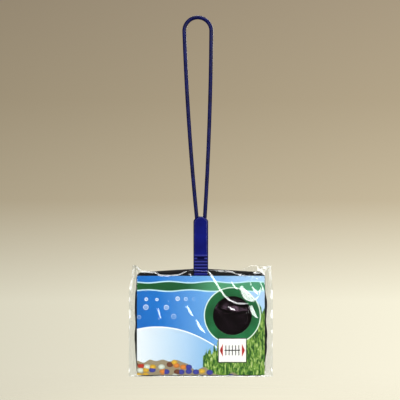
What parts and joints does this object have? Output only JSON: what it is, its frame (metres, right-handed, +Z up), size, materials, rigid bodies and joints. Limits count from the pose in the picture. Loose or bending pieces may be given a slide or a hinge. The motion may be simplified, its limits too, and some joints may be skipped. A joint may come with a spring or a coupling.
{
  "type": "aquarium fish net in display bag",
  "caption": "Aquarium hand net with a blue coated-wire loop handle, ribbed grip and black rectangular net, packed behind a windowed card in a clear open-topped bag.",
  "frame": {"origin": "point inside the handle loop, above the middle of the net, that rests on a peg", "axes": "+Z up along the handle, +X to the right of someone facing the card, the card faces -Y"},
  "size_m": [0.132, 0.012, 0.336],
  "materials": {
    "spring_steel": "drawn spring wire",
    "blue_jacket": "glossy extruded vinyl coat",
    "grip_blue": "satin moulded polyethylene",
    "hem_tape": "black woven binding tape",
    "net_cloth": "black fine netting",
    "card_board": "coated board, printed on the front",
    "clear_film": "clear polypropylene film"
  },
  "bodies": {
    "net": {"handle_wire": "spring_steel", "handle_jacket": "blue_jacket", "grip_front": "grip_blue", "grip_back": "grip_blue", "frame_wire": "spring_steel", "frame_jacket": "blue_jacket", "hem": "hem_tape", "net_skirt": "net_cloth", "net_panel": "net_cloth"},
    "bag": {"bag_front": "clear_film", "bag_back": "clear_film"},
    "card": {"display_card": "card_board"}
  },
  "joints": [
    {"name": "bag_slide", "type": "slide", "parent": "net", "child": "bag", "axis": [0, 0, -1], "range_m": [0, 0.115]},
    {"name": "card_slide", "type": "slide", "parent": "bag", "child": "card", "axis": [0, 0, -1], "range_m": [-0.098, 0]}
  ]
}
